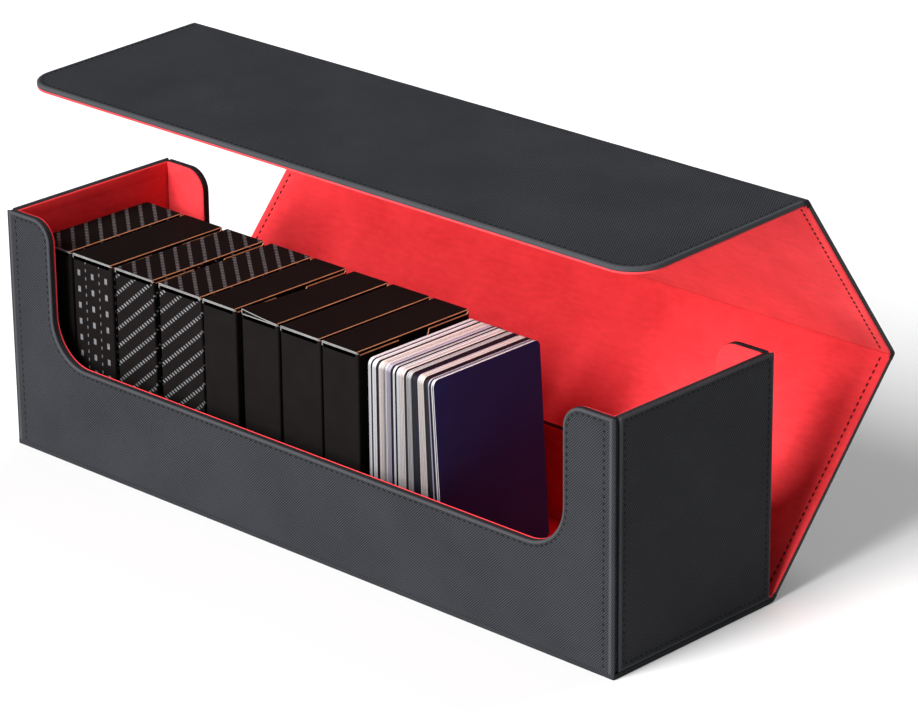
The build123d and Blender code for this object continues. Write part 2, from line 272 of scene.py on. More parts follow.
# --- materials ---
class Shader:
    """A Principled material with short calls for its nodes."""

    def __init__(self, name):
        self.material = bpy.data.materials.new(name)
        self.material.use_nodes = True
        self.tree = self.material.node_tree
        self.shader = self.tree.nodes["Principled BSDF"]

    def node(self, kind, **values):
        made = self.tree.nodes.new(kind)
        for key, value in values.items():
            setattr(made, key, value)
        return made

    def link(self, source, target):
        self.tree.links.new(source, target)

    def math(self, operation, a, b=None, clamp=False):
        made = self.node("ShaderNodeMath", operation=operation, use_clamp=clamp)
        for socket, value in zip(made.inputs, (a, b)):
            if value is None:
                continue
            if isinstance(value, (int, float)):
                socket.default_value = value
            else:
                self.link(value, socket)
        return made.outputs[0]

    def times(self, a, b, clamp=False):
        return self.math("MULTIPLY", a, b, clamp)

    def plus(self, a, b, clamp=False):
        return self.math("ADD", a, b, clamp)

    def minus(self, a, b):
        return self.math("SUBTRACT", a, b)

    def parts(self, vector):
        """A vector's x, y and z."""
        split = self.node("ShaderNodeSeparateXYZ")
        self.link(vector, split.inputs[0])
        return split.outputs

    def place(self, flat):
        """The flat place in metres where the mesh has one, else the place in the row frame."""
        if flat:
            return self.node("ShaderNodeUVMap", uv_map="flat").outputs["UV"]
        return self.node("ShaderNodeTexCoord").outputs["Object"]

    def noise(self, where, scale, detail=3.0, roughness=0.55, stretch=None):
        if stretch:
            mapping = self.node("ShaderNodeMapping")
            mapping.inputs["Scale"].default_value = stretch
            self.link(where, mapping.inputs["Vector"])
            where = mapping.outputs["Vector"]
        made = self.node("ShaderNodeTexNoise")
        made.inputs["Scale"].default_value = scale
        made.inputs["Detail"].default_value = detail
        made.inputs["Roughness"].default_value = roughness
        self.link(where, made.inputs["Vector"])
        return made.outputs["Fac"]

    def spread(self, value, low, high):
        """Takes a value of 0 to 1 to low to high."""
        made = self.node("ShaderNodeMapRange")
        made.inputs["To Min"].default_value = low
        made.inputs["To Max"].default_value = high
        self.link(value, made.inputs["Value"])
        return made.outputs["Result"]

    def mix(self, factor, a, b):
        made = self.node("ShaderNodeMix", data_type="RGBA")
        self.link(factor, made.inputs["Factor"])
        for socket, value in ((made.inputs[6], a), (made.inputs[7], b)):
            if isinstance(value, tuple):
                socket.default_value = (*value, 1.0)
            else:
                self.link(value, socket)
        return made.outputs[2]

    def bump(self, height, distance, strength=1.0, normal=None):
        made = self.node("ShaderNodeBump")
        made.inputs["Strength"].default_value = strength
        made.inputs["Distance"].default_value = distance
        self.link(height, made.inputs["Height"])
        if normal is not None:
            self.link(normal, made.inputs["Normal"])
        self.link(made.outputs["Normal"], self.shader.inputs["Normal"])
        return made.outputs["Normal"]

    def set(self, **values):
        for key, value in values.items():
            socket = self.shader.inputs[key.replace("_", " ")]
            if isinstance(value, (int, float)):
                socket.default_value = value
            elif isinstance(value, tuple):
                socket.default_value = (*value, 1.0)
            else:
                self.link(value, socket)


def leather(name, dark, light, twill=1.0):
    """Black artificial leather with a fine embossed twill whose ridges are painted paler as a highlight,
    clouded by handling.
    """
    s = Shader(name)
    where = s.place(True)
    u, v, _ = s.parts(where)
    rib = 2 * math.pi / (1.2 * MM)
    across = s.math("SINE", s.times(s.minus(u, v), rib))
    along = s.math("SINE", s.times(s.plus(u, s.times(v, 0.6)), rib * 1.1))
    along = s.plus(s.times(along, 0.5), 0.5)
    lozenge = s.times(s.plus(across, 1.0), along)
    weave = s.times(lozenge, 0.5, clamp=True)
    pores = s.noise(where, 2600.0, 2.0)
    cloud = s.noise(where, 22.0, 4.0)
    # Painted highlight: the twill's ridges are lighter in the base colour, standing for the light they
    # catch.
    ridge_highlight = s.times(weave, 0.85 * twill)
    tone = s.plus(ridge_highlight, s.times(cloud, 0.25), clamp=True)
    gloss = s.plus(s.times(weave, 0.4), s.times(cloud, 0.6))
    s.set(
        Base_Color=s.mix(tone, dark, light),
        Roughness=s.spread(gloss, 0.66, 0.48),
        Specular_IOR_Level=0.07,
        IOR=1.3,
    )
    height = s.plus(s.times(weave, twill), s.times(pores, 0.35))
    s.bump(height, 0.22 * MM, 1.0)
    return s.material


def suede(name, low, high):
    """Short-napped red microsuede: mottled where the nap lies different ways, soft at grazing angles."""
    s = Shader(name)
    where = s.place(True)
    nap = s.noise(where, 55.0, 5.0, 0.62)
    brush = s.noise(where, 160.0, 3.0, 0.5, stretch=(1.0, 3.0, 1.0))
    fibre = s.noise(where, 2400.0, 3.0, 0.7)
    tone = s.plus(s.times(nap, 0.5), s.times(brush, 0.3))
    tone = s.plus(tone, s.times(fibre, 0.25), clamp=True)
    s.set(
        Base_Color=s.mix(s.spread(tone, -0.35, 1.35), low, high),
        Roughness=0.95,
        Specular_IOR_Level=0.15,
        Sheen_Weight=0.22,
        Sheen_Roughness=0.45,
        Sheen_Tint=(1.0, 0.55, 0.55),
    )
    s.bump(s.plus(s.times(fibre, 0.8), s.times(nap, 0.5)), 0.14 * MM, 0.8)
    return s.material


def thread(name, dark, light):
    """Waxed sewing thread, twisted: fine slanting plies."""
    s = Shader(name)
    where = s.place(False)
    x, y, z = s.parts(where)
    total = s.plus(s.plus(x, y), z)
    ply = s.math("SINE", s.times(total, 2 * math.pi / (0.45 * MM)))
    ply = s.plus(s.times(ply, 0.5), 0.5)
    fuzz = s.noise(where, 5200.0, 2.0)
    s.set(
        Base_Color=s.mix(s.times(s.plus(ply, fuzz), 0.5), dark, light),
        Roughness=s.spread(fuzz, 0.5, 0.75),
        Specular_IOR_Level=0.12,
    )
    s.bump(s.plus(ply, s.times(fuzz, 0.4)), 0.06 * MM, 0.8)
    return s.material


def greyboard(name):
    """Pressed grey board, speckled with fibre."""
    s = Shader(name)
    where = s.place(False)
    fibre = s.noise(where, 900.0, 5.0, 0.7)
    cloud = s.noise(where, 60.0, 3.0)
    tone = s.times(s.plus(fibre, cloud), 0.5)
    s.set(
        Base_Color=s.mix(tone, (0.22, 0.20, 0.17), (0.5, 0.47, 0.42)),
        Roughness=s.spread(fibre, 0.8, 0.95),
    )
    s.bump(fibre, 0.1 * MM, 0.6)
    return s.material


def magnet_steel(name):
    """Nickelled bar magnet, finely brushed."""
    s = Shader(name)
    grain = s.noise(s.place(False), 700.0, 4.0, 0.6, stretch=(1.0, 1.0, 12.0))
    s.set(
        Base_Color=s.mix(grain, (0.42, 0.42, 0.43), (0.62, 0.62, 0.63)),
        Metallic=1.0,
        Roughness=s.spread(grain, 0.25, 0.45),
    )
    s.bump(grain, 0.02 * MM, 0.5)
    return s.material


BLACK = leather("black_twill_leather", (0.0042, 0.0044, 0.0054), (0.065, 0.067, 0.076))
# Painted highlight: the rounded rim's leather is lighter than the face, standing for the light the rim
# catches; its twill is half as deep.
RIM_HIGHLIGHT = leather("black_worn_edge", (0.026, 0.027, 0.030), (0.105, 0.108, 0.115), 0.5)
RED = suede("red_microsuede", (0.56, 0.018, 0.023), (0.90, 0.058, 0.068))
THREAD = thread("black_thread", (0.0012, 0.0012, 0.0016), (0.007, 0.007, 0.008))
RED_THREAD = thread("dark_red_thread", (0.05, 0.003, 0.004), (0.14, 0.008, 0.009))
BOARD = greyboard("grey_board")
MAGNET = magnet_steel("magnet_nickel")


def finish_piece(obj, body, slot, *materials):
    """Gives a piece its materials and its body. The slot is not used."""
    for m in materials:
        obj.data.materials.append(m)
    if body:
        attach(obj, body)


# --- tray walls ---
def wall_corners(half, bottom, top):
    """A long wall's outline with the reach-in cutout; its last edge is the bottom one."""
    edge = 0.6 * MM
    return [
        (half, bottom, 0.0), (half, top, edge),
        (CUT_HALF, top, CUT_TOP_RADIUS), (CUT_HALF, CUT_BOTTOM, CUT_LOW_RADIUS),
        (-CUT_HALF, CUT_BOTTOM, CUT_LOW_RADIUS), (-CUT_HALF, top, CUT_TOP_RADIUS),
        (-half, top, edge), (-half, bottom, 0.0),
    ]


def wall_insets(all_round, sides=None, bottom=0.0):
    """Insets of a long wall's edges: its two ends may differ from the rim, and the bottom has its own."""
    sides = all_round if sides is None else sides
    return [sides, all_round, all_round, all_round, all_round, all_round, sides, bottom]


CHANNEL = 3.95 * MM           # where the rings below have their sewn channel
ROUNDED = 0.62 * MM           # and how far in their rounded edge reaches
UNHIGHLIT_DEPTH = 0.7 * MM       # an end wall's upright edges get no painted rim highlight deeper than this


def seamed(reach, seam, broad=1.0):
    """Moves a ring's inset so that the channel falls on the seam. The rounded edge gets that many times
    as broad."""
    edge = ROUNDED * broad
    if reach <= ROUNDED:
        return reach * broad
    if reach <= CHANNEL:
        return edge + (reach - ROUNDED) * (seam - edge) / (CHANNEL - ROUNDED)
    return seam + reach - CHANNEL


def rings_of(profile, insets_at=lambda reach: reach):
    """Rings of a profile of (reach, height, pucker), all in mm. insets_at takes a reach in metres."""
    return [
        (insets_at(reach * MM), height * MM, pucker if pucker is None else pucker * MM)
        for reach, height, pucker in profile
    ]


# Over the edge and across the face of a sewn leather sheet.
FACE_PROFILE = (
    (0.0, -0.62, None), (0.08, -0.30, None), (0.30, -0.06, None), (0.62, 0.02, None),
    (1.6, 0.12, 0.02), (2.6, 0.11, 0.06), (3.3, 0.08, 0.12), (3.7, 0.03, 0.16), (4.2, 0.03, 0.16),
    (4.6, 0.06, 0.12), (5.4, 0.05, 0.06), (7.0, 0.03, 0.01), (9.0, 0.0, 0.0),
)
# The tray's suede: a soft edge, a low border where the layers are turned in, then the field.
LINING_PROFILE = (
    (0.35, -RIM_LINING / MM, None), (0.05, 0.25 - RIM_LINING / MM, None), (0.0, -0.50, None),
    (0.10, -0.30, None), (0.32, -0.10, None), (0.70, 0.0, None), (4.6, 0.02, 0.0), (5.4, -0.10, 0.0),
    (7.0, -0.12, 0.0),
)


wall_seam = wall_insets(RIM_SEAM, CORNER_SEAM, 1.0 * MM)


def above_hem(x, y):
    return y > TRAY_BOTTOM + 1.6 * MM


def front_place(x, y, h):
    return Vector((x, -Y_WALL - h, y))


def back_place(x, y, h):
    return Vector((-x, Y_WALL + h, y))


def sew_wall(name, piece, corners, seam, place, keep):
    """Finishes a wall's leather, adds its stitches, and hides the CAD nodes the two stand for."""
    finish_piece(piece, "tray", "black_leather", BLACK, RIM_HIGHLIGHT)
    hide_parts(f"tray_{name}_skin")
    sewing = stitches(f"tray_{name}_thread", corners, seam, place, -THREAD_SUNK, keep)
    finish_piece(sewing, "tray", "black_thread", THREAD)
    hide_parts(f"tray_{name}_stitching")


def long_wall(name, half, place, lip_side, deep_side, lip_depth):
    """The leather of a long wall, turned over its rim, with its stitches. Beyond lip_depth the ends step in
    by lip_side and deep_side, which makes the folded grooves beside the corners."""
    corners = wall_corners(half, TRAY_BOTTOM, TRAY_TOP)

    def at(reach):
        return wall_insets(seamed(reach, RIM_SEAM), seamed(reach, CORNER_SEAM, CORNER_ROUND))

    rings = [
        (wall_insets(0.35 * MM, deep_side), -RIM_LEATHER, None),
        (wall_insets(0.0, deep_side), -RIM_LEATHER + 0.3 * MM, None),
        (wall_insets(0.0, deep_side), -lip_depth - 0.1 * MM, None),
        (wall_insets(0.0, lip_side), -lip_depth, None),
        (wall_insets(0.0, 0.15 * MM), -lip_depth + 0.12 * MM, None),
    ] + rings_of(FACE_PROFILE, at)
    # Rings 5 to 9, over the rounded rim, take the lighter leather of the painted rim highlight; the faces
    # beside a front corner keep the plain leather.
    piece = sewn_sheet(f"tray_{name}_leather", corners, rings, place, seam=wall_seam, highlit_bands=(5, 9))
    for face in piece.data.polygons:
        if abs(face.center.x) > half - ROUNDED * CORNER_ROUND:
            face.material_index = 0
    sew_wall(name, piece, corners, wall_seam, place, above_hem)


long_wall("front", X_END, front_place, GROOVE_DEPTH, GROOVE_DEPTH, 0.85 * MM)
long_wall("back", BACK_HALF, back_place, 0.1 * MM, 0.7 * MM, GROOVE_DEPTH)


def inner_place(side):
    return lambda x, y, h: Vector((side * x, side * (Y_INNER - h), y))


for name, place in (("front", inner_place(-1)), ("back", inner_place(1))):
    corners = wall_corners(X_INNER, floor_low.z, TRAY_TOP - 0.2 * MM)
    rings = rings_of(LINING_PROFILE, lambda reach: wall_insets(reach, min(reach, 0.2 * MM)))
    piece = sewn_sheet(f"tray_{name}_suede", corners, rings, place)
    finish_piece(piece, "tray", "red_suede", RED)
    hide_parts(f"tray_{name}_lining")


def end_wall(name, side):
    """An end wall's leather, its stitched frame and its lining."""
    def place(x, y, h):
        return Vector((side * (X_END + h), side * x, y))

    low, high = (END_FRONT, Y_WALL) if side > 0 else (-Y_WALL, -END_FRONT)
    front_edge, back_edge = (3, 1) if side > 0 else (1, 3)
    corners = [
        (low, TRAY_BOTTOM, 0.0), (high, TRAY_BOTTOM, 0.0),
        (high, TRAY_TOP, 0.6 * MM), (low, TRAY_TOP, 0.6 * MM),
    ]

    def insets(all_round, front=None, back=None):
        values = [min(all_round, 4.0 * MM)] + [all_round] * 3
        if front is not None:
            values[front_edge] = front
        if back is not None:
            values[back_edge] = back
        return values

    side_rings = [
        (insets(0.35 * MM, 0.5 * MM, GROOVE_DEPTH), -RIM_LEATHER, None),
        (insets(0.0, 0.5 * MM, GROOVE_DEPTH), -RIM_LEATHER + 0.3 * MM, None),
        (insets(0.0, 0.5 * MM, GROOVE_DEPTH), -1.25 * MM, None),
        (insets(0.0, GROOVE_STEP, GROOVE_DEPTH), -1.2 * MM, None),
        (insets(0.0, GROOVE_STEP, GROOVE_DEPTH), -0.95 * MM, None),
        (insets(0.0, GROOVE_STEP, 0.12 * MM), -0.8 * MM, None),
    ]
    frame_seams = [REAR_SEAM, REAR_SEAM, RIM_SEAM, REAR_SEAM]

    def past_groove(values):
        values[front_edge] += GROOVE_STEP
        return values

    def at(reach):
        return past_groove([seamed(reach, seam) for seam in frame_seams])

    seam = past_groove(list(frame_seams))
    rings = side_rings + rings_of(FACE_PROFILE, at)
    # Rings 6 to 10, over the rounded rim, take the lighter leather of the painted rim highlight; the
    # upright edges keep it only near the outer face.
    piece = sewn_sheet(f"tray_{name}_leather", corners, rings, place, seam=seam, highlit_bands=(6, 10))
    for face in piece.data.polygons:
        if abs(face.normal.y) > 0.7 and abs(face.center.x) < X_END - UNHIGHLIT_DEPTH:
            face.material_index = 0
    sew_wall(name, piece, corners, seam, place, lambda x, y: True)

    def inner(x, y, h):
        return Vector((side * (X_INNER - h), -side * x, y))

    reach = Y_INNER + RIM_LINING
    lining_corners = [
        (-reach, floor_low.z, 0.0), (reach, floor_low.z, 0.0),
        (reach, TRAY_TOP - 0.2 * MM, 0.3 * MM), (-reach, TRAY_TOP - 0.2 * MM, 0.3 * MM),
    ]
    def lining_insets(reach):
        return [0.0, min(reach, 0.1 * MM), reach, min(reach, 0.1 * MM)]

    lining_rings = rings_of(LINING_PROFILE, lining_insets)
    lining = sewn_sheet(f"tray_{name}_suede", lining_corners, lining_rings, inner)
    finish_piece(lining, "tray", "red_suede", RED)
    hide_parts(f"tray_{name}_lining")


end_wall("left", -1)
end_wall("right", 1)


def groove_lining(label, near, far, place):
    """The leather at the bottom of a corner's folded groove, from near to far across it."""
    corners = [
        (near, TRAY_BOTTOM, 0.0), (far, TRAY_BOTTOM, 0.0),
        (far, TRAY_TOP - RIM_LEATHER, 0.0), (near, TRAY_TOP - RIM_LEATHER, 0.0),
    ]
    rings = [
        (0.0, -0.8 * MM, None),
        (0.0, 0.0, None),
        (0.2 * MM, 0.02 * MM, None),
    ]
    piece = sewn_sheet(f"tray_{label}_groove", corners, rings, place)
    finish_piece(piece, "tray", "black_leather", BLACK)


def bottom_of_front_groove(side):
    return lambda x, y, h: Vector((side * (X_END - GROOVE_DEPTH + h), side * x, y))


def bottom_of_back_groove(x, y, h):
    return back_place(x, y, h - GROOVE_DEPTH)


GROOVE_NEAR = 1.9 * MM        # from the tray's corner to the near side of a groove's lining
GROOVE_FAR = 3.9 * MM         # and to its far side, beside a front corner
front_groove = (-Y_WALL + GROOVE_NEAR, -Y_WALL + GROOVE_FAR)
groove_lining("front_right", *front_groove, bottom_of_front_groove(1))
groove_lining("front_left", -front_groove[1], -front_groove[0], bottom_of_front_groove(-1))
groove_lining("back_right", -X_END + GROOVE_NEAR, -BACK_HALF + 1.0 * MM, bottom_of_back_groove)
groove_lining("back_left", BACK_HALF - 1.0 * MM, X_END - GROOVE_NEAR, bottom_of_back_groove)


def lying(x, y, h):
    return Vector((x, y, h))


floor_corners = [
    (-X_INNER, -Y_INNER, 0.0), (X_INNER, -Y_INNER, 0.0), (X_INNER, Y_INNER, 0.0), (-X_INNER, Y_INNER, 0.0),
]
floor_suede = sewn_sheet(
    "tray_floor_suede", floor_corners,
    [
        (0.0, floor_low.z, None),
        (0.0, floor_high.z - 0.15 * MM, None),
        (0.5 * MM, floor_high.z, None),
        (3.0 * MM, floor_high.z, 0.0),
    ],
    lying,
)
finish_piece(floor_suede, "tray", "red_suede", RED)
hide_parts("tray_floor_lining")

base_corners = [
    (-X_END, -Y_WALL, 0.6 * MM), (X_END, -Y_WALL, 0.6 * MM),
    (X_END, Y_WALL, 0.0), (-X_END, Y_WALL, 0.0),
]
base_leather = sewn_sheet(
    "cover_base_leather", base_corners,
    [
        (0.45 * MM, 0.0, None),
        (0.12 * MM, 0.10 * MM, None),
        (0.0, 0.45 * MM, None),
        (0.0, TRAY_BOTTOM - 0.35 * MM, None),
        (0.12 * MM, TRAY_BOTTOM - 0.08 * MM, None),
        (0.4 * MM, TRAY_BOTTOM, None),
        (3.0 * MM, TRAY_BOTTOM, 0.0),
    ],
    lying,
)
finish_piece(base_leather, "tray", "black_leather", BLACK)
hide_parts("cover_base_skin", "cover_base_board")

# --- cover panels ---
def unit(angle):
    return Vector((0.0, math.cos(math.radians(angle)), math.sin(math.radians(angle))))


creases = [Vector(joints[n]["pos_m"]) for n in ("rear_crease", "upper_crease", "front_crease")]
turns = [joints[n]["range_deg"][1] for n in ("rear_crease", "upper_crease", "front_crease")]
angles = [turns[0], turns[0] + turns[1], sum(turns)]
BACK_SPAN = (creases[1] - creases[0]).length
TOP_SPAN = (creases[2] - creases[1]).length
flap_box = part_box("front_flap_skin")
FLAP_SPAN = (creases[2].y - flap_box[0].y - HALF_PANEL * abs(unit(angles[2]).z)) / abs(unit(angles[2]).y)
LINING_EDGE = 1.15 * MM       # how thick the lining shows at a panel's edge
SPARE = 14.0 * MM             # how far a panel's outline runs past its creases before it is cut
# The cover's suede: a rounded edge, a sewn channel, then the field.
PANEL_LINING_PROFILE = (
    (0.40, -LINING_EDGE / MM, None), (0.16, -0.9775, None), (0.06, -0.575, None), (0.22, -0.161, None),
    (0.60, 0.0, None), (2.6, 0.10, 0.04), (3.5, -0.05, 0.10), (3.8, -0.16, 0.10), (4.1, -0.16, 0.10),
    (4.4, -0.05, 0.10), (5.3, 0.0, 0.04), (7.0, 0.0, 0.0),
)


def cover_panel(name, crease, angle, span, free):
    """One panel: leather turned over its free edges, the lining on its inner side, and both seams."""
    ahead, inward = unit(angle), unit(angle + 90)

    def outer(x, y, h):
        return crease + Vector((-x, 0, 0)) + ahead * y - inward * (HALF_PANEL + h)

    def inner(x, y, h):
        return crease + Vector((x, 0, 0)) + ahead * y + inward * (HALF_PANEL + h)

    near = HALF_CREASE
    far = span if free else span - HALF_CREASE
    reach = far if free else far + SPARE
    radius = FLAP_RADIUS if free else 0.0
    corners = [
        (-X_END, near - SPARE, 0.0), (X_END, near - SPARE, 0.0),
        (X_END, reach, radius), (-X_END, reach, radius),
    ]
    thick = 2 * HALF_PANEL - LINING_EDGE
    rings = [
        (0.5 * MM, -thick - 0.25 * MM, None),
        (0.14 * MM, -thick - 0.12 * MM, None),
        (0.0, -thick + 0.15 * MM, None),
    ] + rings_of(FACE_PROFILE, lambda reach: seamed(reach, PANEL_SEAM))
    seam, lining_seam = [PANEL_SEAM] * 4, [LINING_SEAM] * 4
    # Rings 2 to 7, over the rounded edge, take the lighter leather of the painted edge highlight.
    skin = sewn_sheet(f"{name}_leather", corners, rings, outer, seam=seam, highlit_bands=(2, 7))
    lining_rings = rings_of(PANEL_LINING_PROFILE)
    lining = sewn_sheet(f"{name}_suede", corners, lining_rings, inner, seam=lining_seam)
    for piece in (skin, lining):
        cut(piece, crease + ahead * near, -ahead)
        if not free:
            cut(piece, crease + ahead * far, ahead)

    def keep(x, y):
        return y > near + 0.4 * MM and (free or y < far - 0.4 * MM)

    outer_sewing = stitches(f"{name}_thread", corners, seam, outer, -THREAD_SUNK, keep)
    inner_sewing = stitches(f"{name}_inner_thread", corners, lining_seam, inner, -0.06 * MM, keep)
    finish_piece(skin, name, "black_leather", BLACK, RIM_HIGHLIGHT)
    finish_piece(lining, name, "red_suede", RED)
    finish_piece(outer_sewing, name, "black_thread", THREAD)
    finish_piece(inner_sewing, name, "black_thread", RED_THREAD)
    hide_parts(f"{name}_skin")
    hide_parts(f"{name}_lining")
    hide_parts(f"{name}_stitching")


cover_panel("back_panel", creases[0], angles[0], BACK_SPAN, False)
cover_panel("top_panel", creases[1], angles[1], TOP_SPAN, False)
cover_panel("front_flap", creases[2], angles[2], FLAP_SPAN, True)


# --- creases ---
def crease_section(before, after, crease):
    """The fold seen from the end: the closed lines of its leather and of its lining."""
    ahead_1, ahead_2 = unit(before), unit(after)
    in_1, in_2 = unit(before + 90), unit(after + 90)
    half_turn = math.radians(after - before) / 2
    overlap = HALF_CREASE + 0.5 * MM
    bend = HALF_PANEL - 0.10 * MM
    arc_parts = 12
    feather = [(overlap - 0.35 * MM * k, HALF_PANEL + 0.03 * MM - 0.016 * MM * k) for k in range(8)]
    outside = [crease - ahead_1 * reach - in_1 * depth for reach, depth in feather]
    for k in range(arc_parts + 1):
        a = before + (after - before) * k / arc_parts
        outside.append(crease - unit(a + 90) * bend)
    outside += [crease + ahead_2 * reach - in_2 * depth for reach, depth in reversed(feather)]

    def inside(level):
        corner_back = level * math.tan(half_turn)
        valley = crease + (in_1 + in_2).normalized() * (level / math.cos(half_turn) - 1.0 * MM)
        run = [overlap - (overlap - corner_back - 0.25 * MM) * k / 8 for k in range(9)]
        first = [crease - ahead_1 * r + in_1 * level for r in run]
        second = [crease + ahead_2 * r + in_2 * level for r in reversed(run)]
        return first + [valley] + second

    layer = HALF_PANEL - LINING
    leather_line = outside + inside(layer + 0.05 * MM)[::-1]
    lining_line = inside(HALF_PANEL + 0.02 * MM) + inside(layer + 0.1 * MM)[::-1]
    return leather_line, lining_line


def extrude_along_box(name, line, half, rng_seed):
    """A closed section run along the box, with a slightly uneven fold."""
    wave = random.Random(rng_seed)
    phases = [wave.uniform(0, 2 * math.pi) for _ in range(4)]
    stations = [-half, -half + 0.35 * MM]
    stations += [-half + 2 * half * k / 90 for k in range(1, 90)]
    stations += [half - 0.35 * MM, half]
    centre = sum(line, Vector()) / len(line)
    along, total = lengths(line)
    verts, uvs = [], []
    for i, x in enumerate(stations):
        shrink = 0.86 if i in (0, len(stations) - 1) else 1.0
        lift = sum(math.sin(x * f + p) for f, p in zip((31.0, 73.0, 151.0, 260.0), phases)) * 0.03 * MM
        for k, p in enumerate(line):
            q = centre + (p - centre) * shrink
            share = math.sin(math.pi * k / len(line)) ** 4
            q = q + (p - centre).normalized() * lift * share
            verts.append(Vector((x, q.y, q.z)))
            uvs.append((x, along[k]))
    faces = [face[:1] + face[:0:-1] for face in loft_faces(len(stations), len(line))]
    return make_object(name, verts, faces, uvs, 50.0)


fold_names = (
    ("rear", "tray", "back_panel"),
    ("upper", "back_panel", "top_panel"),
    ("front", "top_panel", "front_flap"),
)
headings = [0.0] + angles
for i, (label, first, second) in enumerate(fold_names):
    before, after = headings[i], headings[i + 1]
    leather_line, lining_line = crease_section(before, after, creases[i])
    fold = extrude_along_box(f"crease_{label}_leather", leather_line, X_END, 20 + i)
    fold_lining = extrude_along_box(f"crease_{label}_suede", lining_line, X_END - 0.35 * MM, 40 + i)
    finish_piece(fold, None, "black_leather", BLACK)
    finish_piece(fold_lining, None, "red_suede", RED)
    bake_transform(fold)
    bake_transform(fold_lining)
    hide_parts(f"crease_{label}_strip")

# --- tuck boxes ---
def box_places(obj):
    """Gives every face a flat place in metres, read square to the way it faces."""
    layer = obj.data.uv_layers.get("flat") or obj.data.uv_layers.new(name="flat")
    for polygon in obj.data.polygons:
        n = polygon.normal
        for loop in polygon.loop_indices:
            p = obj.data.vertices[obj.data.loops[loop].vertex_index].co
            if abs(n.z) > max(abs(n.x), abs(n.y)):
                layer.data[loop].uv = (p.x, -p.y)
            elif abs(n.y) > abs(n.x):
                layer.data[loop].uv = (p.x, p.z)
            else:
                layer.data[loop].uv = (p.y, p.z)


def paint(obj, rule):
    """Sets each face's material by rule(centre, normal)."""
    for polygon in obj.data.polygons:
        polygon.material_index = rule(polygon.center, polygon.normal)


def printed_board(name, pattern):
    """Black printed and varnished paperboard: plain, with rows of woven dots, or with columns of dots."""
    s = Shader(name)
    where = s.place(True)
    scuff = s.noise(where, 90.0, 5.0, 0.65)
    speck = s.noise(where, 1500.0, 2.0)
    ink = s.mix(scuff, (0.0042, 0.0036, 0.0034), (0.0082, 0.0070, 0.0066))
    relief = s.times(speck, 0.2)
    if pattern != "plain":
        u, v, _ = s.parts(where)

        def spots(a, b, pitch_a, pitch_b, half_a, half_b):
            """Soft-edged spots on a grid with those pitches and half sizes, in metres."""
            marks = []
            for value, pitch, half in ((a, pitch_a, half_a), (b, pitch_b, half_b)):
                cell = s.minus(s.math("FRACT", s.math("DIVIDE", value, pitch)), 0.5)
                reach = s.math("DIVIDE", s.math("ABSOLUTE", cell), half / pitch)
                marks.append(s.times(s.minus(1.25, reach), 3.0, clamp=True))
            return s.times(marks[0], marks[1])

        if pattern == "woven":
            slope = math.radians(39.5)
            cosine, sine = math.cos(slope), math.sin(slope)
            run = s.plus(s.times(u, cosine), s.times(v, sine))
            rise = s.minus(s.times(v, cosine), s.times(u, sine))
            slant = s.plus(run, s.times(rise, 0.35))
            dots = spots(slant, rise, 1.95 * MM, 6.2 * MM, 0.42 * MM, 0.7 * MM)
        else:
            large = spots(u, v, 8.7 * MM, 7.5 * MM, 0.75 * MM, 1.2 * MM)
            shifted = s.plus(u, 4.35 * MM)
            small = spots(shifted, v, 8.7 * MM, 3.75 * MM, 0.3 * MM, 0.65 * MM)
            dots = s.math("MAXIMUM", large, s.times(small, 0.7))
        grey = s.mix(s.noise(where, 260.0, 3.0), (0.04, 0.04, 0.044), (0.20, 0.20, 0.21))
        ink = s.mix(dots, ink, grey)
        relief = s.plus(relief, dots)
    s.set(Base_Color=ink, Roughness=s.spread(scuff, 0.5, 0.7), Specular_IOR_Level=0.14, IOR=1.12)
    s.bump(relief, 0.03 * MM, 0.6)
    return s.material


def paper_core(name, dark, light):
    """Raw or worn paperboard edge: fibrous, with darker flaws along it."""
    s = Shader(name)
    where = s.place(False)
    fibre = s.noise(where, 1400.0, 4.0, 0.65)
    flaw = s.noise(where, 120.0, 4.0, 0.7)
    tone = s.times(s.plus(fibre, s.spread(flaw, -0.35, 1.25)), 0.6, clamp=True)
    s.set(Base_Color=s.mix(tone, dark, light), Roughness=0.75, Specular_IOR_Level=0.3)
    s.bump(fibre, 0.06 * MM, 0.6)
    return s.material


PRINTS = {kind: printed_board(f"black_board_{kind}", kind) for kind in ("plain", "woven", "dotted")}
COPPER = paper_core("copper_fold", (0.16, 0.055, 0.02), (0.72, 0.36, 0.17))
CORE = paper_core("grey_core", (0.05, 0.05, 0.05), (0.26, 0.255, 0.25))
LINER = paper_core("inner_liner", (0.20, 0.18, 0.16), (0.38, 0.35, 0.31))

RIM_DROP = 1.5 * MM           # the notched panel stops this far under the lid's top
SIDE_DROP = 0.62 * MM         # and the narrow sides this far
TUCK = 14.0 * MM
DUST_FLAP = 13.0              # in mm, how far a dust flap reaches in
DECKS = (                      # prints of the lid and of the carton, and how far the lid stands open
    ("woven", "plain", 0.2), ("plain", "dotted", 0.1), ("woven", "woven", 0.1), ("woven", "woven", 0.15),
    ("plain", "plain", 0.1), ("plain", "plain", 1.7), ("plain", "plain", 0.15), ("plain", "plain", 0.1),
)


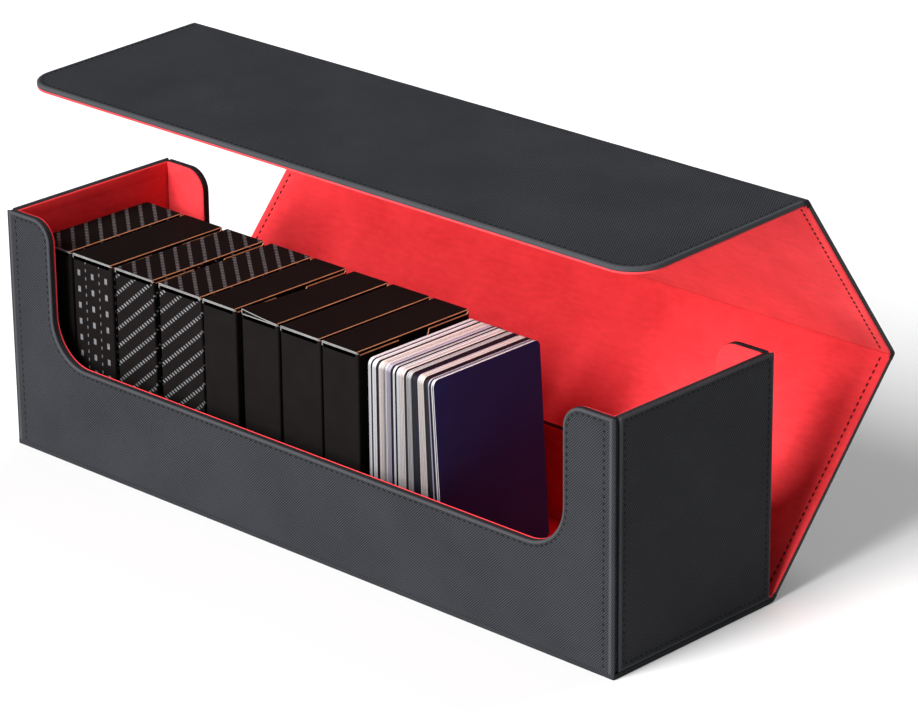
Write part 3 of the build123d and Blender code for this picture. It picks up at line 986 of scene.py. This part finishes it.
def carton(number, print_name):
    """The open carton: walls, a bottom, dust flaps folded in at the top and a thumb notch at +X."""
    low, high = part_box(f"deck_box_{number}_carton")
    middle = (low.y + high.y) / 2
    edge = 0.7 * MM
    corners = [(low.x, low.y, edge), (high.x, low.y, edge), (high.x, high.y, edge), (low.x, high.y, edge)]

    def place(x, y, h):
        drop = SIDE_DROP
        if x > high.x - 0.75 * MM and low.y + 0.9 * MM < y < high.y - 0.9 * MM:
            drop = RIM_DROP
            if abs(y - middle) < NOTCH_RADIUS:
                drop = max(RIM_DROP, math.sqrt(NOTCH_RADIUS ** 2 - (y - middle) ** 2))
        return Vector((x, y, h - drop if h > low.z + 65 * MM else h))

    top = high.z
    shell = sewn_sheet(
        f"tuck_box_{number}_carton", corners,
        [
            (0.45 * MM, low.z, None),
            (0.12 * MM, low.z + 0.12 * MM, None),
            (0.0, low.z + 0.5 * MM, None),
            (0.0, low.z + 30 * MM, None),
            (0.0, low.z + 60 * MM, None),
            (0.0, top - 0.32 * MM, None),
            (0.14 * MM, top, None),
            (PAPERBOARD - 0.05 * MM, top, None),
            (PAPERBOARD, top - 0.1 * MM, None),
            (PAPERBOARD, low.z + PAPERBOARD, None),
        ],
        place, step=0.7 * MM,
    )
    box_places(shell)
    inner = (low.x + 0.3 * MM, high.x - 0.3 * MM, low.y + 0.3 * MM, high.y - 0.3 * MM)

    def rule(c, n):
        if inner[0] < c.x < inner[1] and inner[2] < c.y < inner[3] and c.z > low.z + 0.3 * MM:
            return 2
        if n.z > 0.25 and c.z > low.z + 60 * MM:
            return 1 if low.y + 0.7 * MM < c.y < high.y - 0.7 * MM else 3
        return 0

    paint(shell, rule)
    finish_piece(shell, f"deck_box_{number}", "black_paperboard", PRINTS[print_name], COPPER, LINER, CORE)
    for edge_y, way in ((low.y, 1), (high.y, -1)):
        dust_flap(number, low.x, high.x, edge_y, way, high.z - SIDE_DROP, print_name)
    return shell


def dust_flap(number, left, right, edge_y, way, top, print_name):
    """A thin flap folded in from a narrow side, under the lid; it narrows toward its free end."""
    section = [(0.0, -2.0), (0.0, -0.35), (0.12, -0.10), (0.35, 0.0), (DUST_FLAP, -0.25)]
    verts, faces = [], []
    for k, (run, rise) in enumerate(section):
        share = run / DUST_FLAP
        a, b = left + (1.0 + 0.8 * share) * MM, right - (1.6 + 1.0 * share) * MM
        for layer in (0.0, -0.4):
            inset = 0.0 if k > 2 else -layer
            y = edge_y + way * (run + inset) * MM
            z = top + (rise + (layer if k > 2 else 0.0)) * MM
            verts += [(a, y, z), (b, y, z)]
    for k in range(len(section) - 1):
        i = k * 4
        faces += [
            [i, i + 1, i + 5, i + 4], [i + 2, i + 6, i + 7, i + 3],
            [i, i + 4, i + 6, i + 2], [i + 1, i + 3, i + 7, i + 5],
        ]
    last = (len(section) - 1) * 4
    faces += [[0, 2, 3, 1], [last, last + 1, last + 3, last + 2]]
    if way < 0:
        faces = [face[::-1] for face in faces]
    side = "near" if way > 0 else "far"
    flap = make_object(f"tuck_box_{number}_dust_flap_{side}", verts, faces)
    box_places(flap)
    finish_piece(flap, f"deck_box_{number}", "black_paperboard", PRINTS[print_name], CORE)


def lid(number, print_name, opening):
    """The lid: hinged at -X, folded over at +X into a tongue that tucks in behind the notched panel."""
    low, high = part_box(f"deck_box_{number}_carton")
    t = PAPERBOARD - 0.05 * MM
    left, fold, top = low.x, high.x - PAPERBOARD - 0.1 * MM, high.z
    bend = 0.55 * MM

    def corner(cx, cz, radius, first, last):
        turns = [math.radians(first + (last - first) * k / 4) for k in range(5)]
        return [(cx + radius * math.cos(a), cz + radius * math.sin(a)) for a in turns]

    outer = [(left, top - 2.2 * MM)] + corner(left + bend, top - bend, bend, 180, 90)
    outer += [(left + (fold - left) * k / 8, top) for k in range(1, 8)]
    outer += corner(fold - bend, top - bend, bend, 90, 0)
    outer += [(fold, top - TUCK * 0.5), (fold - 0.5 * MM, top - TUCK)]
    inner = [(fold - t - 0.5 * MM, top - TUCK), (fold - t, top - TUCK * 0.5)]
    inner += corner(fold - bend, top - bend, bend - t, 0, 90)
    inner += [(left + (fold - left) * k / 8, top - t) for k in range(7, 0, -1)]
    inner += corner(left + bend, top - bend, bend - t, 90, 180) + [(left + t, top - 2.2 * MM)]
    line = outer + inner
    stations = [low.y, low.y + 0.05 * MM] + [low.y + (high.y - low.y) * k / 24 for k in range(1, 24)]
    stations += [high.y - 0.05 * MM, high.y]
    warp = random.Random(60 + number)
    lean, sag = warp.uniform(-0.1, 0.1) * MM, warp.uniform(0.05, 0.22) * MM
    verts = []
    for y in stations:
        across = (y - low.y) / (high.y - low.y)
        for x, z in line:
            share = min(1.0, max(0.0, (x - left) / (fold - left)))
            rise = opening * MM * (1 - share) ** 1.4 * max(0.0, 1 - across * 1.6) ** 1.5
            dip = -sag * math.sin(math.pi * across) * math.sin(math.pi * share)
            dip += lean * across * (1 - share) * 0.5
            tucked = z < top - 3 * MM
            inset = 0.9 * MM + 1.6 * MM * max(0.0, (top - z) / TUCK - 0.5) * 2 if tucked else 0.0
            y_in = low.y + inset + (high.y - low.y - 2 * inset) * across
            verts.append((x, y_in, z + min(0.0, dip) + (0.0 if tucked else rise)))
    piece = make_object(f"tuck_box_{number}_lid", verts, loft_faces(len(stations), len(line)), None, 30.0)
    box_places(piece)

    def rule(c, n):
        if abs(n.y) > 0.8:
            return 2
        if n.z < -0.5 or (n.x < -0.5 and c.x > left + 1.5 * MM):
            return 3
        if 0.4 < n.x < 0.9 and c.z > top - 0.75 * MM:
            return 1
        return 0

    paint(piece, rule)
    finish_piece(piece, f"deck_box_{number}", "black_paperboard", PRINTS[print_name], COPPER, CORE, LINER)
    return piece


for number, (lid_print, side_print, opening) in enumerate(DECKS, 1):
    carton_piece = carton(number, side_print)
    lid_piece = lid(number, lid_print, opening)
    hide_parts(f"deck_box_{number}_carton")
    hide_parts(f"deck_box_{number}_lid")


# --- loose cards ---
CARD_WIDTH = 63.0 * MM
CARD_HEIGHT = 88.0 * MM
CARD_RADIUS = 3.0 * MM
CARD_THICKNESS = 0.305 * MM
CARD_START = 32.4 * MM
CARDS_DEEP = 36.3 * MM
CARD_LEAN = 3.4
TONES = {
    "white": ((0.55, 0.54, 0.57), (0.88, 0.86, 0.87)),
    "cream": ((0.52, 0.46, 0.44), (0.85, 0.75, 0.71)),
    "grey": ((0.28, 0.27, 0.28), (0.58, 0.56, 0.56)),
    "lilac": ((0.26, 0.24, 0.32), (0.55, 0.51, 0.62)),
    # navy and black edges are painted shadow, standing for the dark gaps between bundles
    "navy": ((0.0015, 0.0012, 0.006), (0.008, 0.006, 0.028)),
    "black": ((0.0015, 0.0012, 0.0012), (0.007, 0.006, 0.006)),
}
# The black and navy runs paint the shadowed gaps between bundles as near-black card edges; the cards stand
# at an even pitch with no gaps.
RUNS = (
    ("white", 5), ("navy", 2), ("white", 6), ("black", 3), ("cream", 7), ("grey", 2), ("cream", 4),
    ("lilac", 5), ("black", 3), ("white", 3), ("black", 3), ("white", 5), ("cream", 6), ("black", 3),
    ("grey", 7), ("black", 5), ("navy", 4), ("cream", 9), ("black", 7), ("lilac", 2), ("navy", 2),
    ("white", 2),
)


def card_edge(name, dark, light):
    """The cut edges of cards: pressed paper in streaks about one card wide. The upright edges are painted
    darker than the top ones, as shade."""
    s = Shader(name)
    where = s.place(False)
    facing = s.parts(s.node("ShaderNodeNewGeometry").outputs["Normal"])
    # Painted shade: edges facing sideways get a third of the paper's dark tone, tops the full paper colour.
    lit_top_share = s.spread(s.math("ABSOLUTE", facing[2]), 0.10, 1.0)
    streak = s.noise(where, 1000.0, 3.0, 0.6, stretch=(3.6, 0.12, 0.12))
    fibre = s.noise(where, 3000.0, 2.0)
    tone = s.plus(s.spread(streak, -0.1, 1.3), s.times(fibre, 0.2), clamp=True)
    painted_side_shade = tuple(0.3 * value for value in dark)
    paper = s.mix(tone, dark, light)
    s.set(Base_Color=s.mix(lit_top_share, painted_side_shade, paper), Roughness=0.6, Specular_IOR_Level=0.25)
    s.bump(streak, 0.05 * MM, 0.6)
    return s.material


def card_face(name, dark, light):
    """A card's printed side: dark purple under a satin varnish."""
    s = Shader(name)
    where = s.place(False)
    cloud = s.noise(where, 30.0, 3.0)
    linen = s.noise(where, 1800.0, 2.0)
    s.set(
        Base_Color=s.mix(cloud, dark, light),
        Roughness=s.spread(linen, 0.42, 0.55),
        Specular_IOR_Level=0.02,
        IOR=1.2,
    )
    s.bump(linen, 0.015 * MM, 0.5)
    return s.material


PURPLE = card_face("purple_card", (0.020, 0.022, 0.095), (0.027, 0.030, 0.125))
EDGES = {tone: card_edge(f"card_edge_{tone}", *pair) for tone, pair in TONES.items()}
tone_names = list(TONES)
stack_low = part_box("card_stack")[0]
card_box_low, card_box_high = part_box("front_card")
card_middle = (card_box_low.y + card_box_high.y) / 2


def card_parts(top_left, lean, thickness, shift_y, drop):
    """Vertices and faces of one card, which leans so that its foot is further toward +X than its top. The
    first and the last face are its printed sides."""
    tilt = math.radians(lean)
    across = Vector((math.cos(tilt), 0, math.sin(tilt)))
    up = Vector((-math.sin(tilt), 0, math.cos(tilt)))
    foot = stack_low.z + 0.05 * MM
    top = Vector((top_left, card_middle + shift_y, foot + CARD_HEIGHT * math.cos(tilt) - drop))
    centre = top - up * CARD_HEIGHT / 2
    w, h = CARD_WIDTH / 2 - CARD_RADIUS, CARD_HEIGHT / 2 - CARD_RADIUS
    ring = []
    for cy, cz, start in ((w, h, 0), (-w, h, 90), (-w, -h, 180), (w, -h, 270)):
        for k in range(7):
            a = math.radians(start + 15 * k)
            ring.append((cy + CARD_RADIUS * math.cos(a), cz + CARD_RADIUS * math.sin(a)))
    verts = [centre + Vector((0, y, 0)) + up * z for y, z in ring]
    verts += [v + across * thickness for v in verts]
    return verts, loft_faces(2, len(ring))


def lean_at(share):
    """Degrees of lean along the stack: upright at first, then fanning out."""
    return CARD_LEAN * max(0.0, (share - 0.2) / 0.8) ** 2.2


deal = random.Random(11)
cards = [tone for tone, count in RUNS for _ in range(count)]
pitch = CARDS_DEEP / len(cards)
verts, faces, kinds = [], [], []
sway = 0.0
for k, tone in enumerate(cards):
    if k and cards[k - 1] != tone:
        sway = deal.uniform(-0.45, 0.45) * MM
    part_verts, part_faces = card_parts(
        CARD_START + k * pitch, lean_at(k / len(cards)), CARD_THICKNESS,
        sway + deal.uniform(-0.07, 0.07) * MM, deal.uniform(0.0, 0.16) * MM,
    )
    base = len(verts)
    verts += part_verts
    faces += [[base + f for f in face] for face in part_faces]
    kinds += [len(tone_names)] + [tone_names.index(tone)] * (len(part_faces) - 2) + [len(tone_names)]
stack = make_object("loose_cards", verts, faces)
stack.data.polygons.foreach_set("material_index", kinds)
finish_piece(stack, "cards", "white_card", *EDGES.values(), PURPLE)
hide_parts("card_stack")

verts, faces = card_parts(CARD_START + CARDS_DEEP + 0.06 * MM, CARD_LEAN, 0.4 * MM, 0.0, 0.0)
front = make_object("loose_front_card", verts, faces)
front.data.polygons.foreach_set("material_index", [1] + [0] * (len(faces) - 2) + [1])
finish_piece(front, "cards", "dark_card", EDGES["white"], PURPLE)
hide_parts("front_card")

# --- hidden CAD pieces keep their shape and get their real materials ---
for node_name, node in frame["nodes"].items():
    for ending, material in (("_board", BOARD), ("_magnets", MAGNET)):
        if node_name.endswith(ending) and not node.hide_render:
            node.data.materials.clear()
            node.data.materials.append(material)

# --- stage, light and camera ---
WORLD_LIGHT = 0.11            # strength of the even light from all round
scene = bpy.context.scene
scene.view_settings.view_transform = "Standard"
scene.view_settings.look = "None"

ground = make_object("ground", [(-4, -4, 0), (4, -4, 0), (4, 4, 0), (-4, 4, 0)], [[0, 1, 2, 3]])
ground_shader = Shader("pale_ground")
ground_cloud = ground_shader.noise(ground_shader.place(False), 3.0)
ground_shader.set(
    Base_Color=ground_shader.mix(ground_cloud, (0.78, 0.78, 0.78), (0.82, 0.82, 0.82)),
    Roughness=0.9,
    Specular_IOR_Level=0.1,
)
ground.data.materials.append(ground_shader.material)

scene.world = bpy.data.worlds.new("studio")
scene.world.use_nodes = True
sky, join = scene.world.node_tree.nodes, scene.world.node_tree.links.new
ray = sky.new("ShaderNodeLightPath")
either = sky.new("ShaderNodeMixShader")
join(ray.outputs["Is Camera Ray"], either.inputs[0])
for background, strength, socket in (
    (sky["Background"], WORLD_LIGHT, either.inputs[1]),
    (sky.new("ShaderNodeBackground"), 1.0, either.inputs[2]),
):
    background.inputs["Color"].default_value = (1.0, 1.0, 1.0, 1.0)
    background.inputs["Strength"].default_value = strength
    join(background.outputs[0], socket)
join(either.outputs[0], sky["World Output"].inputs["Surface"])


def soft_sun(name, azimuth, elevation, spread, strength):
    """A wide, far lamp. Azimuth 0 is straight in front of the box and grows toward +X."""
    data = bpy.data.lights.new(name, "SUN")
    data.angle = math.radians(spread)
    data.energy = strength
    lamp = bpy.data.objects.new(name, data)
    az, el = math.radians(azimuth), math.radians(elevation)
    toward = Vector((math.sin(az) * math.cos(el), -math.cos(az) * math.cos(el), math.sin(el)))
    lamp.rotation_euler = toward.to_track_quat("Z", "Y").to_euler()
    scene.collection.objects.link(lamp)


soft_sun("key", -7.0, 36.0, 34.0, 5.4)
soft_sun("low_front", -2.0, 8.0, 26.0, 2.8)
soft_sun("rear", 186.0, 48.0, 40.0, 1.5)

camera_data = bpy.data.cameras.new("camera")
camera_data.sensor_width = 36.0
camera_data.lens = 162.1
camera_data.clip_start, camera_data.clip_end = 0.05, 30.0
camera = bpy.data.objects.new("camera", camera_data)
camera.location = (1.13906, -1.13379, 0.71397)
sight = Vector((0.03191, 0.01832, 0.07655)) - camera.location
camera.rotation_mode = "QUATERNION"
roll = Quaternion((0.0, 0.0, 1.0), math.radians(-0.57))
camera.rotation_quaternion = sight.to_track_quat("-Z", "Y") @ roll
scene.collection.objects.link(camera)
scene.camera = camera
